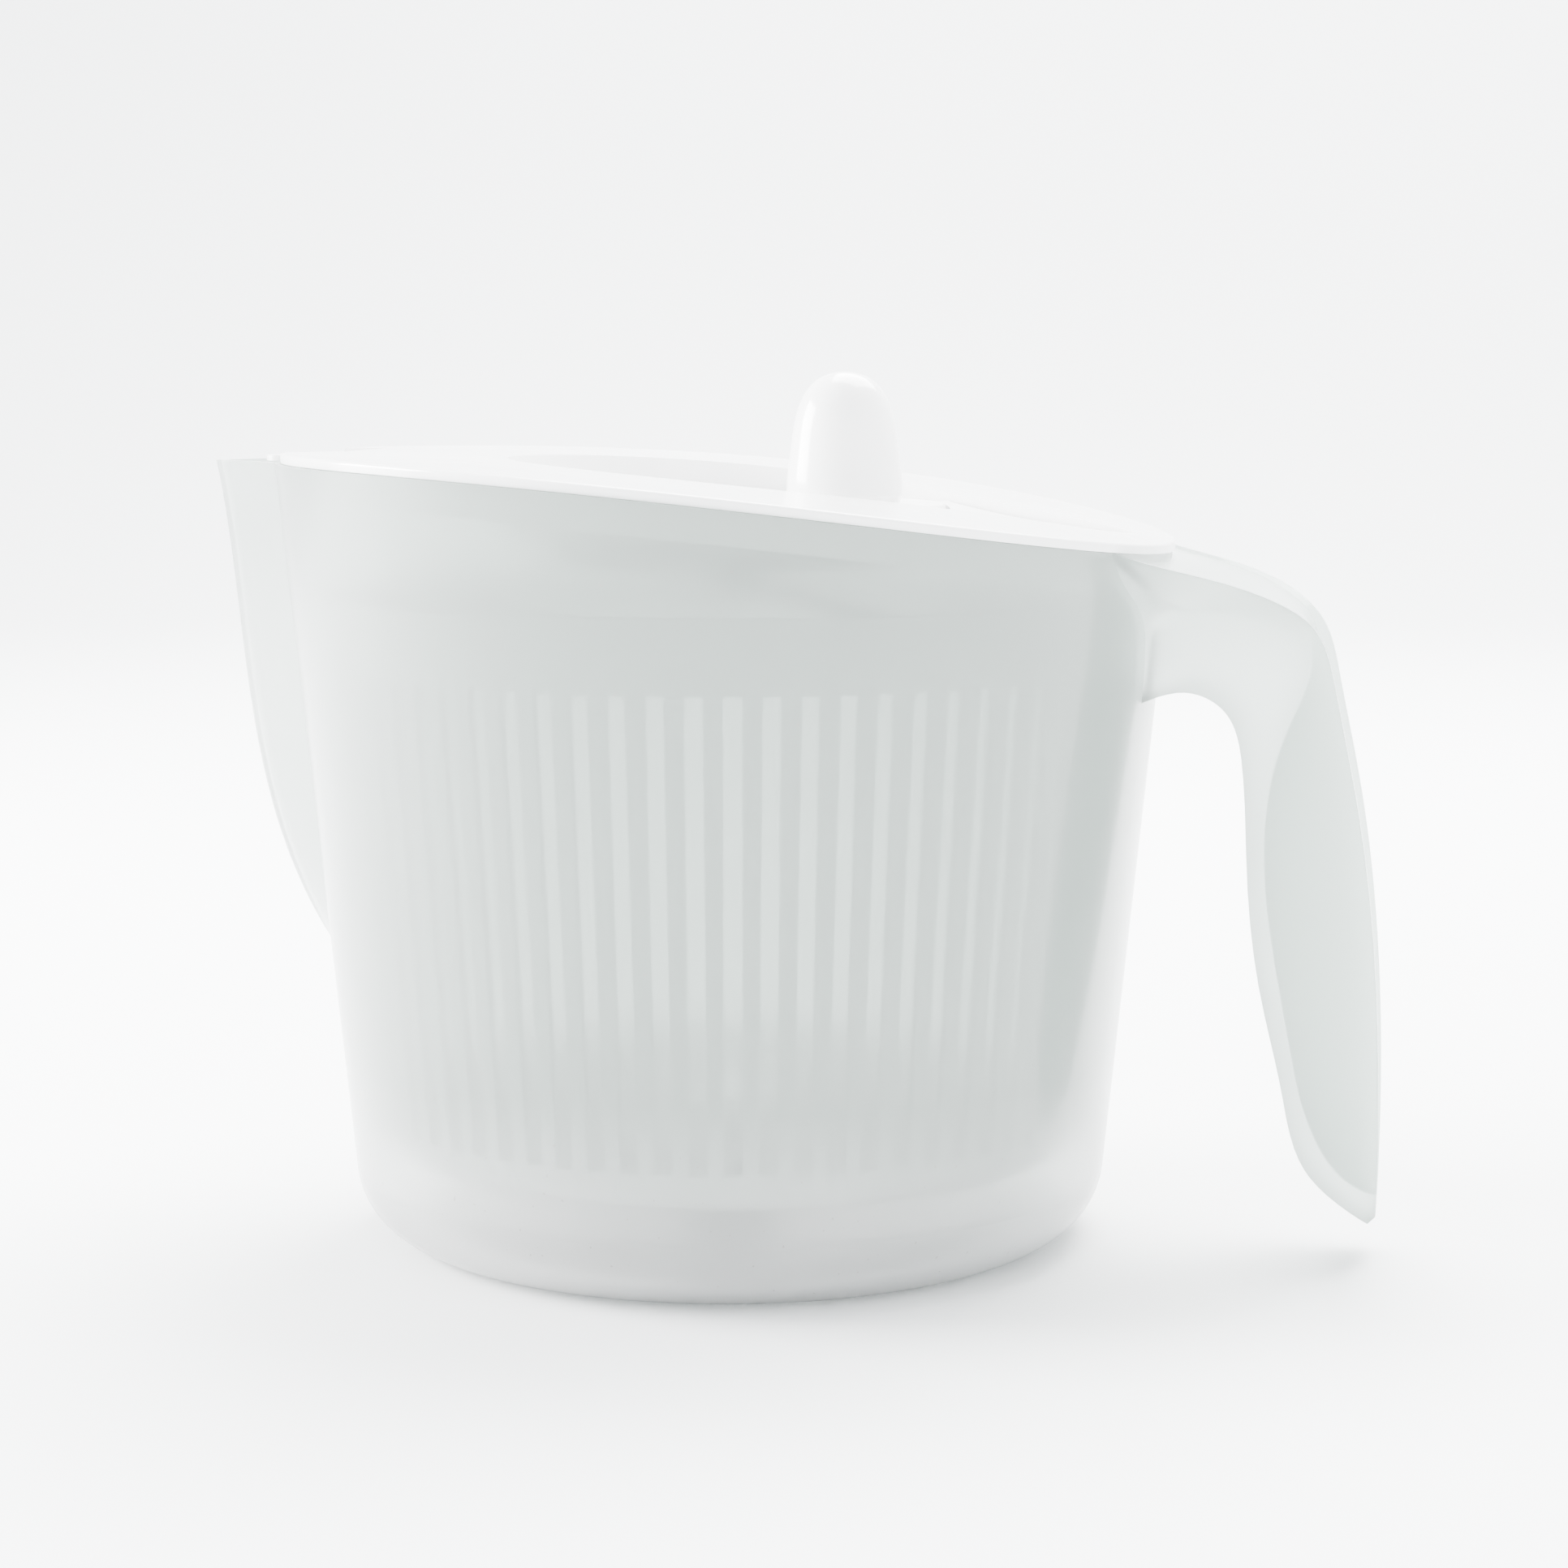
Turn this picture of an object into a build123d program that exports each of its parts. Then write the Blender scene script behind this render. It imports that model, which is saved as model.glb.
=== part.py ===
from build123d import *
from math import acos, cos, degrees, pi, radians, sin, sqrt
import os

# Salad spinner: a frosted jug with a spout and a hooked handle, a slotted basket that turns on
# a pivot in the jug's floor, and a crowned lid with a crank that drives the basket by gears.
# Millimetres. +Z is up, +X runs to the handle and -X to the spout.
# The origin is on the jug's axis, in the plane that it stands on.

# ---- Jug ----
JUG_BASE_R = 96.5            # outer radius of the wall carried down to the table
JUG_TAPER = 0.1              # growth of the radius per millimetre of height
JUG_WALL = 2.4
JUG_FLOOR = 3.4
JUG_CORNER_R = 20.0
JUG_BLANK_H = 215.0          # height before the rim is trimmed to the crown
FUSE = 0.5                   # overlap that joins two solids of one piece

SPOUT_NOSE_R = 6.0           # rounding along the spout's ridge
SPOUT_ROOT = 20.0            # depth that the spout reaches into the wall
SPOUT_LEVELS = (             # height, place of the ridge and half width of the mouth
    (60.0, -100.5, 7.0), (95.0, -123.0, 23.0), (145.0, -134.4, 31.0), (212.0, -144.4, 37.0),
)
HANDLE_WALL = 2.6
HANDLE_START_X = 95.0        # inside the jug's wall
HANDLE_SPAN = 90.0
HANDLE_WIDTHS = (            # height and half width of the handle, seen from its end
    (6.0, 7.4), (14.0, 9.6), (24.0, 13.0), (40.0, 17.2), (60.0, 18.8), (94.0, 19.5), (135.0, 19.5),
    (153.0, 20.4), (163.0, 25.5), (170.0, 36.0), (177.0, 45.0), (190.0, 50.0),
)

# ---- Crown: the arched surface that the lid and the rim follow in the XZ plane ----
CROWN_Z = 198.2
CROWN_SLOPE = 0.0967
CROWN_BEND = 0.00042
CROWN_REACH = 160.0          # half length of the arched cutters
CROWN_HALF_WIDTH = 130.0
CUT = 60.0                   # depth of the slabs that trim to the crown
BELOW_LID = 150.0            # levels that the lid lies between
ABOVE_LID = 230.0

# ---- Lid ----
LID_R = 115.0
LID_T = 2.4
LID_EDGE_R = 0.8
RIM_GAP = 0.2                # between the lid's flange and the jug's rim
LIP_X = -100.0               # start of the lower lip over the spout
LIP_HALF = 24.0
LIP_STEP = 1.0
LIP_END_X = -119.5           # end of the tab that the lip runs out to
LIP_TAB_HALF = 22.0
LIP_TAB_R = 5.0
SKIRT_R = 110.0
SKIRT_T = 2.2
SKIRT_DEPTH = 8.5

# ---- Crank disc and its recess ----
DISC_Z = 190.5               # top face of the disc
DISC_T = 2.5
DISC_R = 56.0
DISC_SKIN = 0.9              # left over the blind screw holes
RECESS_R = 57.2
RECESS_WALL = 2.4
SHELF_Z = 187.0              # top of the shelf below the disc
SHELF_T = 3.5
SHELF_HOLE_R = 38.6
TAIL_TIP_X = 95.0            # centre of the rounded end of the finger scoop
TAIL_TIP_R = 11.0
SCOOP_FLAT_X = 52.0          # the scoop is level as far as this
SCOOP_Z = 190.0
SCOOP_DEPTH = 2.6            # below the crown, halfway along the tail
SCOOP_SHELL = 5.0
GLIDE_T = 0.9
GLIDE_W = 10.4

# ---- Knob ----
KNOB_X = 34.4
KNOB_Y = -22.9
KNOB_R = 14.6
KNOB_BOTTOM = 191.7
KNOB_TOP = 224.3
KNOB_WALL = 2.2
KNOB_PIN_R = 3.0
KNOB_PIN_TOP = 214.0
KNOB_PIN_SET = 1.0           # depth of the pin in the disc
KNOB_HEAD_R = 4.6
KNOB_HEAD_T = 2.4
KNOB_BUSH_R = 6.4
KNOB_BUSH_BOTTOM = 201.0
KNOB_POST_R = 8.5            # post on the disc inside the knob
KNOB_POST_TOP = 200.0
KNOB_RUN = 0.05              # radial running clearance
KNOB_END_PLAY = 0.4
KNOB_WEB_T = 10.0
KNOB_FOOT_LEAN = 0.8

# ---- Gears ----
GEAR_MODULE = 1.0
GEAR_ROOT = 1.25 * GEAR_MODULE
TOOTH_FOOT = 0.6 * GEAR_MODULE   # part of each tooth sunk in its wheel
FLANK_STEPS = 4
PRESSURE_ANGLE = radians(20)
RING_TEETH = 60
IDLER_TEETH = 21
SUN_TEETH = 18
IDLER_COUNT = 3
GEAR_BACKLASH = 0.16         # thinning of each tooth at the pitch circle
GEAR_BOTTOM = 180.3
GEAR_TOP = 187.2
RING_OUTER_R = 36.6
RING_SCREW_TURN = 45         # degrees
RING_BOTTOM = 179.8
RING_FLANGE_R = 41.0
RING_FLANGE_T = 3.3
RING_SCREW_PITCH_R = 34.0
RING_SCREWS = 4
RING_SCREW_R = 1.1
RING_SCREW_HEAD_R = 2.2
IDLER_R = GEAR_MODULE * (SUN_TEETH + IDLER_TEETH) / 2
IDLER_PIN_R = 2.0
GEAR_RUN = 0.05

# ---- Gear housing ----
HOUSING_R = 54.0
PIN_SET = 0.6                # floor left under each idler's pin
PIN_PROUD = 0.3              # pin above its idler
WASHER_PLAY = 0.2            # end play at washers and bosses
HOUSING_CUP_R = 46.5
HOUSING_WALL = 2.4
HOUSING_BOTTOM = 176.4
HOUSING_FLOOR_TOP = 179.0
HOUSING_TOP = SHELF_Z - SHELF_T
HOUSING_FLANGE_T = 2.4
HOUSING_SCREWS = 6
HOUSING_SCREW_PITCH_R = 50.2
SCREW_R = 1.4
SCREW_HEAD_R = 2.7
SCREW_HEAD_T = 1.6
SCREW_BITE = 3.0
IDLER_BOSS_R = 4.0

# ---- Drive shaft, plate and bush ----
SHAFT_R = 3.0
SHAFT_CHAMFER = 0.4
SHAFT_TOP = 187.4
SHAFT_BOTTOM = 166.0
BUSH_R = 6.0
BUSH_FLANGE_R = 8.2
BUSH_BOTTOM = 174.8
BUSH_TOP = 180.0
THRUST_WASHER_R = 7.5
PLATE_SCREW_R = 1.5
PLATE_SCREW_HEAD_R = 5.5
PLATE_SCREW_LENGTH = 6.0
PLATE_SCREW_WEB = 0.4        # head left under the key's recess
PLATE_HUB_R = 13.0
PLATE_BOTTOM = 166.0
PLATE_TOP = 173.0
ARM_T = 3.0
ARM_W = 12.0
ARM_REACH = 101.6
ARM_COUNT = 3
ARM_TURN = 60                # degrees
FINGER_BOTTOM = 156.5
FINGER_T = 3.4
TAB_W = 5.0
TAB_GAP = 0.7

# ---- Basket ----
BASKET_BASE_R = 91.5
BASKET_TAPER = 0.088
BASKET_WALL = 2.0
BASKET_BOTTOM = 24.0
BASKET_FLOOR_T = 2.4
BASKET_CORNER_R = 13.0
BASKET_TOP = 168.0
BASKET_RIM_R = 108.0
BASKET_RIM_T = 5.6
SLOT_COUNT = 72
SLOT_W = 4.5
SLOT_CUT = 24.0              # radial length of the slots' cutters
SLOT_BOTTOM = 35.0
SLOT_TOP = 150.0
FLOOR_SLOTS = 24
FLOOR_SLOT_W = 4.0
FLOOR_SLOT_IN = 34.0
FLOOR_SLOT_OUT = 74.0
TAB_BOTTOM = 155.0
TAB_TOP = 164.5
TAB_DEPTH = 7.0
TAB_SET = 1.0                # from the basket's outer face

# ---- Pivot in the floor ----
PIVOT_HEX_R = 8.0
PIVOT_BORE_R = 3.05
PIVOT_BOTTOM = 4.0
PIVOT_COLLAR_R = 7.0
PIVOT_TOP = 19.4
PIVOT_WASHER_R = 6.5
PIVOT_PLAY = 0.1
SOCKET_R = 12.5
SOCKET_TOP = 14.0
SOCKET_GAP = 0.3
AXLE_R = 3.0
AXLE_BOTTOM = 5.2
CLIP_R = 4.7
CLIP_BOTTOM = 5.8
CLIP_T = 0.8
CLIP_POCKET_R = 5.2
CLIP_POCKET_TOP = 7.4
AXLE_TOP = 27.5
BASKET_BOSS_R = 13.0
BASKET_BOSS_BOTTOM = 20.0
BASKET_BOSS_CAP = 1.5

os.makedirs("parts", exist_ok=True)


def crown_z(x):
    """Height of the crown at a place along the object."""
    return CROWN_Z - CROWN_SLOPE * x - CROWN_BEND * x**2


def jug_r(z):
    """Outer radius of the jug's wall at a height."""
    return JUG_BASE_R + JUG_TAPER * z


def basket_r(z):
    """Outer radius of the basket's wall at a height."""
    return BASKET_BASE_R + BASKET_TAPER * z


def crown_slab(below_top, thickness):
    """A slab between two arched surfaces that lie below the crown by the given amounts."""
    top = [(x, crown_z(x) - below_top) for x in (-CROWN_REACH, 0, CROWN_REACH)]
    low = [(x, z - thickness) for x, z in top]
    with BuildPart() as slab:
        with BuildSketch(Plane.XZ):
            with BuildLine():
                ThreePointArc(*top)
                Line(top[-1], low[-1])
                ThreePointArc(*reversed(low))
                Line(low[0], top[0])
            make_face()
        extrude(amount=CROWN_HALF_WIDTH, both=True)
    return slab.part


def tube(outer_r, inner_r, bottom, top):
    """An upright tube on the axis."""
    with BuildPart() as ring:
        with BuildSketch(Plane.XY.offset(bottom)):
            Circle(outer_r)
            Circle(inner_r, mode=Mode.SUBTRACT)
        extrude(amount=top - bottom)
    return ring.part


def save(piece, name):
    """Label a finished piece and write it."""
    piece.part.label = name
    export_step(piece.part, f"parts/{name}.step")


# ---- Gear teeth ----

def involute(radius, base_r):
    """Polar angle of an involute where it reaches a radius."""
    if radius <= base_r:
        return 0.0
    return sqrt((radius / base_r) ** 2 - 1) - acos(base_r / radius)


def polar(radius, angle):
    """A point of the XY plane from its radius and its angle in radians."""
    return (radius * cos(angle), radius * sin(angle))


def gear_face(teeth, phase, addendum, dedendum, thinning):
    """A spur gear's outline, with a tooth's middle at the phase, in radians."""
    pitch_r = GEAR_MODULE * teeth / 2
    base_r = pitch_r * cos(PRESSURE_ANGLE)
    tip_r = pitch_r + addendum
    root_r = pitch_r - dedendum
    half_tooth = (pi * GEAR_MODULE / 2 - thinning) / (2 * pitch_r) + involute(pitch_r, base_r)
    start_r = max(root_r, base_r)
    flank_radii = [start_r + (tip_r - start_r) * k / FLANK_STEPS for k in range(FLANK_STEPS + 1)]
    flank = [polar(r, half_tooth - involute(r, base_r)) for r in flank_radii]
    tooth = [(root_r - TOOTH_FOOT, flank[0][1]), *flank]
    mirrored = [(x, -y) for x, y in reversed(tooth)]
    with BuildSketch() as outline:
        Circle(root_r)
        with PolarLocations(0, teeth, start_angle=degrees(phase)):
            Polygon(*tooth, *mirrored, align=None)
    return outline.sketch


# ---- Jug ----

def jug_section(inset, bottom, top):
    """Half of the jug's round section, inset from its outer face."""
    corner = JUG_CORNER_R - inset
    with BuildSketch(Plane.XZ) as section:
        with BuildLine():
            Polyline(
                (0, bottom),
                (jug_r(bottom) - inset, bottom),
                (jug_r(top) - inset, top),
                (0, top),
                close=True,
            )
        make_face()
        fillet(section.vertices().group_by(Axis.Y)[0].sort_by(Axis.X)[-1:], radius=corner)
    return section.sketch


def spout_loft(inset):
    """The spout's V, from its foot on the wall up past the rim, inset from its outer face."""
    with BuildPart() as spout:
        for z, tip_x, half in SPOUT_LEVELS:
            back_x = SPOUT_ROOT - jug_r(z) + inset
            side_x = inset - sqrt(jug_r(z) ** 2 - half**2)
            nose_r = min(SPOUT_NOSE_R, half / 2) - inset / 2
            with BuildSketch(Plane.XY.offset(z)) as level:
                with BuildLine():
                    Polyline(
                        (tip_x + 1.6 * inset, 0),
                        (side_x, half - inset),
                        (back_x, half - inset),
                        (back_x, inset - half),
                        (side_x, inset - half),
                        close=True,
                    )
                make_face()
                fillet(level.vertices().sort_by(Axis.X)[0], radius=nose_r)
        loft()
    return spout.part


HANDLE_BACK = (
    (100.0, 183.0), (124.0, 175.4), (142.0, 169.0), (151.6, 161.4), (156.6, 147.0), (162.6, 118.0),
    (167.2, 84.0), (169.2, 46.0), (169.0, 11.5),
)
HANDLE_FRONT = (
    (167.0, 9.4), (161.0, 13.4), (151.6, 23.0), (145.2, 45.0), (139.7, 69.0), (135.8, 100.0),
    (134.2, 127.0), (129.5, 140.6), (120.5, 145.0), (112.0, 143.4), (100.0, 138.0),
)
HANDLE_FLOOR = (
    (100.0, 182.4), (124.0, 174.6), (142.0, 167.8), (149.5, 161.0), (150.5, 151.0), (145.0, 136.0),
    (140.5, 118.0), (141.2, 88.0), (147.0, 56.0), (155.0, 29.0), (163.0, 19.5), (174.0, 17.0),
)
HANDLE_OUTSIDE = ((190.0, 220.0), (100.0, 220.0), HANDLE_FLOOR[0])


def handle_side(half_widths):
    """The handle seen from its end, as a sheet through the jug: half widths against height."""
    right = [(w, z) for z, w in half_widths]
    with BuildPart() as sheet:
        with BuildSketch(Plane.YZ.offset(HANDLE_START_X)):
            with BuildLine():
                outline = Spline(*right)
                mirror(outline, about=Plane.YZ)
                Line(right[-1], (-right[-1][0], right[-1][1]))
                Line(right[0], (-right[0][0], right[0][1]))
            make_face()
        extrude(amount=HANDLE_SPAN)
    return sheet.part


def handle_blank(outline_points, closing_points, side_widths):
    """A block bounded by two side curves in the XZ plane and by the handle's widths."""
    with BuildPart() as block:
        with BuildSketch(Plane.XZ):
            with BuildLine():
                Spline(*outline_points)
                Polyline(outline_points[-1], *closing_points)
            make_face()
        extrude(amount=CROWN_HALF_WIDTH, both=True)
        add(handle_side(side_widths), mode=Mode.INTERSECT)
    return block.part


with BuildPart() as handle:
    with BuildSketch(Plane.XZ):
        with BuildLine():
            Spline(*HANDLE_BACK)
            Line(HANDLE_BACK[-1], HANDLE_FRONT[0])
            Spline(*HANDLE_FRONT)
            Line(HANDLE_FRONT[-1], HANDLE_BACK[0])
        make_face()
    extrude(amount=CROWN_HALF_WIDTH, both=True)
    add(handle_side(HANDLE_WIDTHS), mode=Mode.INTERSECT)
    channel_sides = [(z, half - HANDLE_WALL) for z, half in HANDLE_WIDTHS]
    add(handle_blank(HANDLE_FLOOR, HANDLE_OUTSIDE, channel_sides), mode=Mode.SUBTRACT)

with BuildPart() as jug_inside:
    add(jug_section(JUG_WALL, JUG_FLOOR, ABOVE_LID))
    revolve(axis=Axis.Z)
    add(spout_loft(JUG_WALL))

with BuildPart() as jug:
    add(jug_section(0, 0, JUG_BLANK_H))
    revolve(axis=Axis.Z)
    add(spout_loft(0))
    add(handle.part)
    add(jug_inside.part, mode=Mode.SUBTRACT)
    add(crown_slab(-CUT, CUT + LID_T + RIM_GAP), mode=Mode.SUBTRACT)
    with BuildSketch(Plane.XY.offset(JUG_FLOOR - FUSE)):
        Circle(SOCKET_R)
        RegularPolygon(PIVOT_HEX_R + SOCKET_GAP, 6, mode=Mode.SUBTRACT)
    extrude(amount=SOCKET_TOP - JUG_FLOOR + FUSE)
save(jug, "jug")


# ---- Lid cover ----

def teardrop(grow):
    """Plan of the crank's recess and of the finger scoop that tapers away from it."""
    big_r = RECESS_R + grow
    tip_r = TAIL_TIP_R + grow
    lean = acos((big_r - tip_r) / TAIL_TIP_X)
    big_x, big_y = polar(big_r, lean)
    tip_x, tip_y = polar(tip_r, lean)
    with BuildSketch() as plan:
        Circle(big_r)
        with Locations((TAIL_TIP_X, 0)):
            Circle(tip_r)
        Polygon(
            (big_x, big_y),
            (TAIL_TIP_X + tip_x, tip_y),
            (TAIL_TIP_X + tip_x, -tip_y),
            (big_x, -big_y),
            align=None,
        )
    return plan.sketch


with BuildPart() as scoop_cutter:
    with BuildSketch(Plane.XY.offset(BELOW_LID)):
        add(teardrop(0))
    extrude(amount=ABOVE_LID - BELOW_LID)
    tail_end = TAIL_TIP_X + TAIL_TIP_R
    tail_middle = (SCOOP_FLAT_X + tail_end) / 2
    with BuildSketch(Plane.XZ):
        with BuildLine():
            Line((-LID_R, SCOOP_Z), (SCOOP_FLAT_X, SCOOP_Z))
            ThreePointArc(
                (SCOOP_FLAT_X, SCOOP_Z),
                (tail_middle, crown_z(tail_middle) - SCOOP_DEPTH),
                (tail_end, crown_z(tail_end)),
            )
            Polyline(
                (tail_end, crown_z(tail_end)),
                (tail_end, ABOVE_LID),
                (-LID_R, ABOVE_LID),
                (-LID_R, SCOOP_Z),
            )
        make_face()
    extrude(amount=LID_R, both=True, mode=Mode.INTERSECT)

with BuildPart() as lip_cutter:
    add(crown_slab(-CUT, CUT + LIP_STEP))
    with BuildSketch(Plane.XY.offset(BELOW_LID)):
        with Locations((LIP_X - LID_R / 2, 0)):
            Rectangle(LID_R, 2 * LIP_HALF)
    extrude(amount=ABOVE_LID - BELOW_LID, mode=Mode.INTERSECT)

with BuildPart() as lid_tab:
    add(crown_slab(0, LID_T))
    with BuildSketch(Plane.XY.offset(BELOW_LID)):
        with Locations(((LIP_X + LIP_END_X) / 2, 0)):
            RectangleRounded(LIP_X - LIP_END_X, 2 * LIP_TAB_HALF, LIP_TAB_R)
    extrude(amount=ABOVE_LID - BELOW_LID, mode=Mode.INTERSECT)

with BuildPart() as lid_under:
    add(tube(SKIRT_R, SKIRT_R - SKIRT_T, BELOW_LID, ABOVE_LID))
    add(crown_slab(LID_T / 2, SKIRT_DEPTH + LID_T / 2), mode=Mode.INTERSECT)

with BuildPart() as scoop_shell:
    with BuildSketch(Plane.XY.offset(BELOW_LID)):
        add(teardrop(RECESS_WALL))
    extrude(amount=ABOVE_LID - BELOW_LID)
    add(crown_slab(LID_T / 2, SCOOP_SHELL + LID_T / 2), mode=Mode.INTERSECT)

with BuildPart() as recess_wall:
    add(tube(RECESS_R + RECESS_WALL, RECESS_R, SHELF_Z - SHELF_T, ABOVE_LID))
    add(crown_slab(LID_T / 2, CUT), mode=Mode.INTERSECT)

with BuildPart() as lid_cover:
    add(crown_slab(0, LID_T))
    with BuildSketch(Plane.XY.offset(BELOW_LID)):
        Circle(LID_R)
    extrude(amount=ABOVE_LID - BELOW_LID, mode=Mode.INTERSECT)
    fillet(lid_cover.faces().sort_by(Axis.Z)[-1].edges(), radius=LID_EDGE_R)
    add(lid_tab.part)
    add(lip_cutter.part, mode=Mode.SUBTRACT)
    add(lid_under.part)
    add(scoop_shell.part)
    add(recess_wall.part)
    add(scoop_cutter.part, mode=Mode.SUBTRACT)
    with BuildSketch(Plane.XY.offset(SHELF_Z - SHELF_T)):
        Circle(RECESS_R)
    extrude(amount=SCOOP_Z - SHELF_Z + SHELF_T, mode=Mode.SUBTRACT)
    add(tube(RECESS_R + FUSE, SHELF_HOLE_R, SHELF_Z - SHELF_T, SHELF_Z))
    with BuildSketch(Plane.XY.offset(HOUSING_TOP)):
        with PolarLocations(HOUSING_SCREW_PITCH_R, HOUSING_SCREWS):
            Circle(SCREW_R)
    extrude(amount=SCREW_BITE, mode=Mode.SUBTRACT)
save(lid_cover, "lid_cover")


# ---- Crank ----

with BuildPart() as crank_disc:
    with BuildSketch(Plane.XY.offset(DISC_Z - DISC_T)):
        Circle(DISC_R)
    extrude(amount=DISC_T)
    fillet(crank_disc.edges().group_by(Axis.Z)[-1], radius=LID_EDGE_R)
    with BuildSketch(Plane.XY.offset(DISC_Z)):
        with Locations((KNOB_X, KNOB_Y)):
            Circle(KNOB_POST_R)
    extrude(amount=KNOB_POST_TOP - DISC_Z)
    with BuildSketch(Plane.XY.offset(DISC_Z - KNOB_PIN_SET)):
        with Locations((KNOB_X, KNOB_Y)):
            Circle(KNOB_PIN_R)
    extrude(amount=KNOB_POST_TOP - DISC_Z + KNOB_PIN_SET, mode=Mode.SUBTRACT)
    with BuildSketch(Plane.XY.offset(DISC_Z - DISC_T)):
        with PolarLocations(RING_SCREW_PITCH_R, RING_SCREWS, start_angle=RING_SCREW_TURN):
            Circle(RING_SCREW_R)
    extrude(amount=DISC_T - DISC_SKIN, mode=Mode.SUBTRACT)
save(crank_disc, "crank_disc")

with BuildPart() as glide_ring:
    add(tube(DISC_R - 1, DISC_R - 1 - GLIDE_W, SHELF_Z, SHELF_Z + GLIDE_T))
save(glide_ring, "glide_ring")

with BuildPart() as ring_gear:
    with BuildSketch(Plane.XY.offset(RING_BOTTOM)):
        Circle(RING_OUTER_R)
    extrude(amount=DISC_Z - DISC_T - RING_BOTTOM)
    with BuildSketch(Plane.XY.offset(RING_BOTTOM)):
        Circle(RING_FLANGE_R)
    extrude(amount=RING_FLANGE_T)
    with BuildSketch(Plane.XY.offset(RING_BOTTOM)):
        add(gear_face(RING_TEETH, 0, GEAR_ROOT, GEAR_MODULE, -GEAR_BACKLASH))
    extrude(amount=DISC_Z - DISC_T - RING_BOTTOM, mode=Mode.SUBTRACT)
    with BuildSketch(Plane.XY.offset(RING_BOTTOM)):
        with PolarLocations(RING_SCREW_PITCH_R, RING_SCREWS, start_angle=RING_SCREW_TURN):
            Circle(RING_SCREW_HEAD_R)
    extrude(amount=SCREW_HEAD_T, mode=Mode.SUBTRACT)
    with BuildSketch(Plane.XY.offset(RING_BOTTOM)):
        with PolarLocations(RING_SCREW_PITCH_R, RING_SCREWS, start_angle=RING_SCREW_TURN):
            Circle(RING_SCREW_R)
    extrude(amount=DISC_Z - DISC_T - RING_BOTTOM, mode=Mode.SUBTRACT)
save(ring_gear, "ring_gear")

with BuildPart() as ring_screws:
    with BuildSketch(Plane.XY.offset(RING_BOTTOM)):
        with PolarLocations(RING_SCREW_PITCH_R, RING_SCREWS, start_angle=RING_SCREW_TURN):
            Circle(RING_SCREW_HEAD_R)
    extrude(amount=SCREW_HEAD_T)
    with BuildSketch(Plane.XY.offset(RING_BOTTOM + SCREW_HEAD_T)):
        with PolarLocations(RING_SCREW_PITCH_R, RING_SCREWS, start_angle=RING_SCREW_TURN):
            Circle(RING_SCREW_R)
    extrude(amount=DISC_Z - RING_BOTTOM - SCREW_HEAD_T - DISC_SKIN)
    with BuildSketch(Plane.XY.offset(RING_BOTTOM)):
        with PolarLocations(RING_SCREW_PITCH_R, RING_SCREWS, start_angle=RING_SCREW_TURN):
            RegularPolygon(RING_SCREW_R, 6)
    extrude(amount=SCREW_HEAD_T / 2, mode=Mode.SUBTRACT)
save(ring_screws, "ring_screws")


# ---- Knob ----

KNOB_PLANE = Plane(origin=(KNOB_X, KNOB_Y, 0), x_dir=(1, 0, 0), z_dir=(0, -1, 0))
KNOB_AXIS = Axis((KNOB_X, KNOB_Y, 0), (0, 0, 1))


def knob_half(inset):
    """Half section of the knob's bullet shape, inset from its outer face."""
    top = KNOB_TOP - inset
    with BuildSketch(KNOB_PLANE) as half:
        with BuildLine():
            side = Spline(
                (KNOB_R - inset, KNOB_BOTTOM + 2),
                (0.93 * KNOB_R - inset, KNOB_BOTTOM + 13),
                (0.73 * KNOB_R - inset, KNOB_TOP - 6.6),
                (0, top),
                tangents=((0, 1), (-1, 0)),
            )
            foot_r = KNOB_R - KNOB_FOOT_LEAN - inset
            Polyline(side @ 1, (0, KNOB_BOTTOM), (foot_r, KNOB_BOTTOM), side @ 0)
        make_face()
    return half.sketch


with BuildPart() as crank_knob:
    add(knob_half(0))
    revolve(axis=KNOB_AXIS)
    add(knob_half(KNOB_WALL))
    revolve(axis=KNOB_AXIS, mode=Mode.SUBTRACT)
    with BuildSketch(Plane.XY.offset(KNOB_BUSH_BOTTOM + 1)):
        with Locations((KNOB_X, KNOB_Y)):
            Circle(0.85 * KNOB_R)
            Circle(KNOB_BUSH_R, mode=Mode.SUBTRACT)
    extrude(amount=KNOB_WEB_T)
save(crank_knob, "crank_knob")

with BuildPart() as knob_pin:
    with BuildSketch(Plane.XY.offset(DISC_Z - KNOB_PIN_SET)):
        with Locations((KNOB_X, KNOB_Y)):
            Circle(KNOB_PIN_R)
    extrude(amount=KNOB_PIN_TOP - DISC_Z + KNOB_PIN_SET)
    with BuildSketch(Plane.XY.offset(KNOB_PIN_TOP)):
        with Locations((KNOB_X, KNOB_Y)):
            Circle(KNOB_HEAD_R)
            RegularPolygon(KNOB_PIN_R, 6, mode=Mode.SUBTRACT)
    extrude(amount=KNOB_HEAD_T)
save(knob_pin, "knob_pin")

with BuildPart() as knob_bush:
    with BuildSketch(Plane.XY.offset(KNOB_BUSH_BOTTOM)):
        with Locations((KNOB_X, KNOB_Y)):
            Circle(KNOB_BUSH_R)
            Circle(KNOB_PIN_R + KNOB_RUN, mode=Mode.SUBTRACT)
    extrude(amount=KNOB_PIN_TOP - KNOB_BUSH_BOTTOM - KNOB_END_PLAY)
save(knob_bush, "knob_bush")

with BuildPart() as knob_washer:
    with BuildSketch(Plane.XY.offset(DISC_Z)):
        with Locations((KNOB_X, KNOB_Y)):
            Circle(KNOB_R - KNOB_WALL)
            Circle(KNOB_POST_R, mode=Mode.SUBTRACT)
    extrude(amount=KNOB_BOTTOM - DISC_Z - WASHER_PLAY)
save(knob_washer, "knob_washer")


# ---- Gear train ----

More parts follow.
